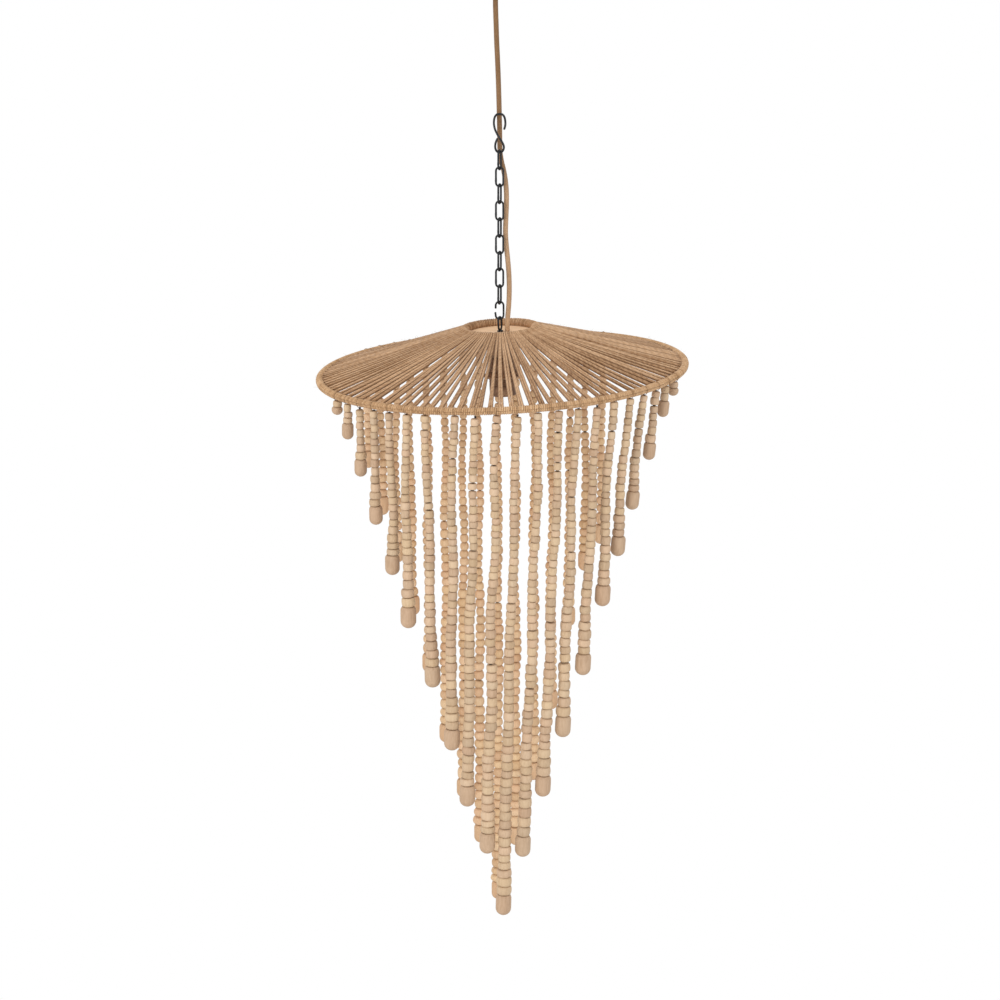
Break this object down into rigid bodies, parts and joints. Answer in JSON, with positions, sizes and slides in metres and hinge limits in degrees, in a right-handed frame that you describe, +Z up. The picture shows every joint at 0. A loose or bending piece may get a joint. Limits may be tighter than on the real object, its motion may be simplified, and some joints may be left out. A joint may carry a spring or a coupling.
{
  "type": "beaded chandelier",
  "caption": "Hanging light with a conical twine shade on a chain and hook, two V-shaped curtains of graduated wooden bead strands, and a fabric-covered cord.",
  "frame": {"origin": "where the S-hook's upper loop bears on what holds it", "axes": "+Z up, -Y towards the front strands, +X to the right seen from the front"},
  "size_m": [0.6092, 0.6217, 1.7066],
  "materials": {
    "bead_wood": "unfinished pale wood",
    "bead_wood_back": "unfinished wood, a little darker",
    "jute": "twisted natural twine",
    "cord_cover": "braided natural cover",
    "board": "plain pale board",
    "black_steel": "satin black",
    "brown_plastic": "matte dark brown"
  },
  "bodies": {
    "hook": {"s_hook": "black_steel", "cord_upper": "cord_cover", "ceiling_cup": "black_steel"},
    "link_1": {"chain_link_1": "black_steel"},
    "link_2": {"chain_link_2": "black_steel"},
    "link_3": {"chain_link_3": "black_steel"},
    "link_4": {"chain_link_4": "black_steel"},
    "link_5": {"chain_link_5": "black_steel"},
    "link_6": {"chain_link_6": "black_steel"},
    "link_7": {"chain_link_7": "black_steel"},
    "link_8": {"chain_link_8": "black_steel"},
    "link_9": {"chain_link_9": "black_steel"},
    "open_link": {"open_link": "black_steel"},
    "shade": {"frame_eye": "black_steel", "eye_nut": "black_steel", "top_plate": "board", "top_ring": "black_steel", "lower_ring_rod": "black_steel", "lower_ring_wrap": "jute", "jute_spokes": "jute", "holder_cap": "brown_plastic", "lamp_holder": "brown_plastic", "holder_ring": "brown_plastic", "cord_lower": "cord_cover"},
    "front_strand_1": {"front_strand_1": "bead_wood"},
    "front_strand_2": {"front_strand_2": "bead_wood"},
    "front_strand_3": {"front_strand_3": "bead_wood"},
    "front_strand_4": {"front_strand_4": "bead_wood"},
    "front_strand_5": {"front_strand_5": "bead_wood"},
    "front_strand_6": {"front_strand_6": "bead_wood"},
    "front_strand_7": {"front_strand_7": "bead_wood"},
    "front_strand_8": {"front_strand_8": "bead_wood"},
    "front_strand_9": {"front_strand_9": "bead_wood"},
    "front_strand_10": {"front_strand_10": "bead_wood"},
    "front_strand_11": {"front_strand_11": "bead_wood"},
    "front_strand_12": {"front_strand_12": "bead_wood"},
    "front_strand_13": {"front_strand_13": "bead_wood"},
    "front_strand_14": {"front_strand_14": "bead_wood"},
    "front_strand_15": {"front_strand_15": "bead_wood"},
    "front_strand_16": {"front_strand_16": "bead_wood"},
    "front_strand_17": {"front_strand_17": "bead_wood"},
    "front_strand_18": {"front_strand_18": "bead_wood"},
    "front_strand_19": {"front_strand_19": "bead_wood"},
    "front_strand_20": {"front_strand_20": "bead_wood"},
    "front_strand_21": {"front_strand_21": "bead_wood"},
    "back_strand_1": {"back_strand_1": "bead_wood_back"},
    "back_strand_2": {"back_strand_2": "bead_wood_back"},
    "back_strand_3": {"back_strand_3": "bead_wood_back"},
    "back_strand_4": {"back_strand_4": "bead_wood_back"},
    "back_strand_5": {"back_strand_5": "bead_wood_back"},
    "back_strand_6": {"back_strand_6": "bead_wood_back"},
    "back_strand_7": {"back_strand_7": "bead_wood_back"},
    "back_strand_8": {"back_strand_8": "bead_wood_back"},
    "back_strand_9": {"back_strand_9": "bead_wood_back"},
    "back_strand_10": {"back_strand_10": "bead_wood_back"},
    "back_strand_11": {"back_strand_11": "bead_wood_back"},
    "back_strand_12": {"back_strand_12": "bead_wood_back"},
    "back_strand_13": {"back_strand_13": "bead_wood_back"},
    "back_strand_14": {"back_strand_14": "bead_wood_back"},
    "back_strand_15": {"back_strand_15": "bead_wood_back"}
  },
  "joints": [
    {"name": "link_1_swing", "type": "hinge", "parent": "hook", "child": "link_1", "pos_m": [0, 0, -0.05925], "axis": [1, 0, 0], "range_deg": [-6, 6]},
    {"name": "link_2_swing", "type": "hinge", "parent": "link_1", "child": "link_2", "pos_m": [0, 0, -0.0864], "axis": [0, 1, 0], "range_deg": [-6, 6]},
    {"name": "link_3_swing", "type": "hinge", "parent": "link_2", "child": "link_3", "pos_m": [0, 0, -0.1137], "axis": [1, 0, 0], "range_deg": [-6, 6]},
    {"name": "link_4_swing", "type": "hinge", "parent": "link_3", "child": "link_4", "pos_m": [0, 0, -0.141], "axis": [0, 1, 0], "range_deg": [-6, 6]},
    {"name": "link_5_swing", "type": "hinge", "parent": "link_4", "child": "link_5", "pos_m": [0, 0, -0.1683], "axis": [1, 0, 0], "range_deg": [-6, 6]},
    {"name": "link_6_swing", "type": "hinge", "parent": "link_5", "child": "link_6", "pos_m": [0, 0, -0.1956], "axis": [0, 1, 0], "range_deg": [-6, 6]},
    {"name": "link_7_swing", "type": "hinge", "parent": "link_6", "child": "link_7", "pos_m": [0, 0, -0.2229], "axis": [1, 0, 0], "range_deg": [-6, 6]},
    {"name": "link_8_swing", "type": "hinge", "parent": "link_7", "child": "link_8", "pos_m": [0, 0, -0.2502], "axis": [0, 1, 0], "range_deg": [-6, 6]},
    {"name": "link_9_swing", "type": "hinge", "parent": "link_8", "child": "link_9", "pos_m": [0, 0, -0.2775], "axis": [1, 0, 0], "range_deg": [-6, 6]},
    {"name": "open_link_swing", "type": "hinge", "parent": "link_9", "child": "open_link", "pos_m": [0, 0, -0.3048], "axis": [0, 1, 0], "range_deg": [-6, 6]},
    {"name": "shade_swing", "type": "hinge", "parent": "open_link", "child": "shade", "pos_m": [0, 0, -0.3301], "axis": [1, 0, 0], "range_deg": [-10, 10], "deforming": ["cord_lower"]},
    {"name": "front_strand_1_swing", "type": "hinge", "parent": "shade", "child": "front_strand_1", "pos_m": [-0.25602, -0.14568, -0.42613], "axis": [-0.4877, 0.8727, -0.0227], "range_deg": [-12, 20]},
    {"name": "front_strand_2_swing", "type": "hinge", "parent": "shade", "child": "front_strand_2", "pos_m": [-0.23876, -0.17298, -0.42533], "axis": [-0.5791, 0.8148, -0.027], "range_deg": [-12, 20]},
    {"name": "front_strand_3_swing", "type": "hinge", "parent": "shade", "child": "front_strand_3", "pos_m": [-0.21865, -0.19825, -0.42439], "axis": [-0.6637, 0.7473, -0.031], "range_deg": [-12, 20]},
    {"name": "front_strand_4_swing", "type": "hinge", "parent": "shade", "child": "front_strand_4", "pos_m": [-0.19594, -0.2212, -0.42333], "axis": [-0.7406, 0.6711, -0.0345], "range_deg": [-12, 20]},
    {"name": "front_strand_5_swing", "type": "hinge", "parent": "shade", "child": "front_strand_5", "pos_m": [-0.17087, -0.24155, -0.42216], "axis": [-0.8087, 0.587, -0.0377], "range_deg": [-10.7, 20]},
    {"name": "front_strand_6_swing", "type": "hinge", "parent": "shade", "child": "front_strand_6", "pos_m": [-0.14376, -0.25907, -0.4209], "axis": [-0.8674, 0.496, -0.0404], "range_deg": [-8.1, 20]},
    {"name": "front_strand_7_swing", "type": "hinge", "parent": "shade", "child": "front_strand_7", "pos_m": [-0.11491, -0.27355, -0.41955], "axis": [-0.9158, 0.3992, -0.0427], "range_deg": [-6.4, 20]},
    {"name": "front_strand_8_swing", "type": "hinge", "parent": "shade", "child": "front_strand_8", "pos_m": [-0.06925, -0.28964, -0.41742], "axis": [-0.9683, 0.2457, -0.0452], "range_deg": [-5.2, 20]},
    {"name": "front_strand_9_swing", "type": "hinge", "parent": "shade", "child": "front_strand_9", "pos_m": [-0.03753, -0.29588, -0.41595], "axis": [-0.9892, 0.1394, -0.0461], "range_deg": [-4.5, 20]},
    {"name": "front_strand_10_swing", "type": "hinge", "parent": "shade", "child": "front_strand_10", "pos_m": [-0.00534, -0.29865, -0.41444], "axis": [-0.9984, 0.0315, -0.0466], "range_deg": [-4, 20]},
    {"name": "front_strand_11_swing", "type": "hinge", "parent": "shade", "child": "front_strand_11", "pos_m": [0.02697, -0.29792, -0.41294], "axis": [-0.996, -0.0767, -0.0464], "range_deg": [-3.4, 20]},
    {"name": "front_strand_12_swing", "type": "hinge", "parent": "shade", "child": "front_strand_12", "pos_m": [0.05902, -0.29369, -0.41144], "axis": [-0.9818, -0.1841, -0.0458], "range_deg": [-3.9, 20]},
    {"name": "front_strand_13_swing", "type": "hinge", "parent": "shade", "child": "front_strand_13", "pos_m": [0.09041, -0.28603, -0.40998], "axis": [-0.9562, -0.2893, -0.0446], "range_deg": [-4.5, 20]},
    {"name": "front_strand_14_swing", "type": "hinge", "parent": "shade", "child": "front_strand_14", "pos_m": [0.1208, -0.275, -0.40856], "axis": [-0.9194, -0.3911, -0.0429], "range_deg": [-5.3, 20]},
    {"name": "front_strand_15_swing", "type": "hinge", "parent": "shade", "child": "front_strand_15", "pos_m": [0.14982, -0.26076, -0.40721], "axis": [-0.8717, -0.4883, -0.0407], "range_deg": [-6.5, 20]},
    {"name": "front_strand_16_swing", "type": "hinge", "parent": "shade", "child": "front_strand_16", "pos_m": [0.17712, -0.24346, -0.40593], "axis": [-0.8139, -0.5798, -0.038], "range_deg": [-8.5, 20]},
    {"name": "front_strand_17_swing", "type": "hinge", "parent": "shade", "child": "front_strand_17", "pos_m": [0.2024, -0.2233, -0.40476], "axis": [-0.7465, -0.6645, -0.0348], "range_deg": [-11, 20]},
    {"name": "front_strand_18_swing", "type": "hinge", "parent": "shade", "child": "front_strand_18", "pos_m": [0.22536, -0.20052, -0.40369], "axis": [-0.6704, -0.7414, -0.0313], "range_deg": [-12, 20]},
    {"name": "front_strand_19_swing", "type": "hinge", "parent": "shade", "child": "front_strand_19", "pos_m": [0.24572, -0.1754, -0.40274], "axis": [-0.5864, -0.8096, -0.0273], "range_deg": [-12, 20]},
    {"name": "front_strand_20_swing", "type": "hinge", "parent": "shade", "child": "front_strand_20", "pos_m": [0.26324, -0.14822, -0.40192], "axis": [-0.4955, -0.8683, -0.0231], "range_deg": [-12, 20]},
    {"name": "front_strand_21_swing", "type": "hinge", "parent": "shade", "child": "front_strand_21", "pos_m": [0.27773, -0.11929, -0.40124], "axis": [-0.3988, -0.9168, -0.0186], "range_deg": [-12, 20]},
    {"name": "back_strand_1_swing", "type": "hinge", "parent": "shade", "child": "back_strand_1", "pos_m": [-0.22739, 0.18796, -0.4248], "axis": [0.6293, 0.7766, 0.0293], "range_deg": [-12, 20]},
    {"name": "back_strand_2_swing", "type": "hinge", "parent": "shade", "child": "back_strand_2", "pos_m": [-0.20573, 0.21191, -0.42379], "axis": [0.7095, 0.704, 0.0331], "range_deg": [-9.7, 20]},
    {"name": "back_strand_3_swing", "type": "hinge", "parent": "shade", "child": "back_strand_3", "pos_m": [-0.18161, 0.23338, -0.42266], "axis": [0.7813, 0.623, 0.0364], "range_deg": [-7.4, 20]},
    {"name": "back_strand_4_swing", "type": "hinge", "parent": "shade", "child": "back_strand_4", "pos_m": [-0.15532, 0.25211, -0.42144], "axis": [0.8441, 0.5348, 0.0394], "range_deg": [-5.8, 20]},
    {"name": "back_strand_5_swing", "type": "hinge", "parent": "shade", "child": "back_strand_5", "pos_m": [-0.12715, 0.26788, -0.42013], "axis": [0.8969, 0.4403, 0.0418], "range_deg": [-4.7, 20]},
    {"name": "back_strand_6_swing", "type": "hinge", "parent": "shade", "child": "back_strand_6", "pos_m": [-0.09745, 0.28052, -0.41874], "axis": [0.9392, 0.3407, 0.0438], "range_deg": [-3.8, 20]},
    {"name": "back_strand_7_swing", "type": "hinge", "parent": "shade", "child": "back_strand_7", "pos_m": [-0.06656, 0.28986, -0.4173], "axis": [0.9705, 0.237, 0.0453], "range_deg": [-3.3, 20]},
    {"name": "back_strand_8_swing", "type": "hinge", "parent": "shade", "child": "back_strand_8", "pos_m": [-0.03484, 0.29581, -0.41582], "axis": [0.9904, 0.1306, 0.0462], "range_deg": [-3, 20]},
    {"name": "back_strand_9_swing", "type": "hinge", "parent": "shade", "child": "back_strand_9", "pos_m": [-0.00267, 0.29829, -0.41432], "axis": [0.9987, 0.0226, 0.0466], "range_deg": [-2.7, 20]},
    {"name": "back_strand_10_swing", "type": "hinge", "parent": "shade", "child": "back_strand_10", "pos_m": [0.02959, 0.29727, -0.41281], "axis": [0.9952, -0.0856, 0.0464], "range_deg": [-3, 20]},
    {"name": "back_strand_11_swing", "type": "hinge", "parent": "shade", "child": "back_strand_11", "pos_m": [0.06154, 0.29276, -0.41132], "axis": [0.9802, -0.1928, 0.0457], "range_deg": [-3.4, 20]},
    {"name": "back_strand_12_swing", "type": "hinge", "parent": "shade", "child": "back_strand_12", "pos_m": [0.09283, 0.28483, -0.40987], "axis": [0.9536, -0.2978, 0.0445], "range_deg": [-4.1, 20]},
    {"name": "back_strand_13_swing", "type": "hinge", "parent": "shade", "child": "back_strand_13", "pos_m": [0.12307, 0.27355, -0.40846], "axis": [0.9158, -0.3992, 0.0427], "range_deg": [-5.4, 20]},
    {"name": "back_strand_14_swing", "type": "hinge", "parent": "shade", "child": "back_strand_14", "pos_m": [0.15191, 0.25907, -0.40711], "axis": [0.8674, -0.496, 0.0404], "range_deg": [-6.7, 20]},
    {"name": "back_strand_15_swing", "type": "hinge", "parent": "shade", "child": "back_strand_15", "pos_m": [0.17903, 0.24155, -0.40585], "axis": [0.8087, -0.587, 0.0377], "range_deg": [-7.7, 20]}
  ]
}
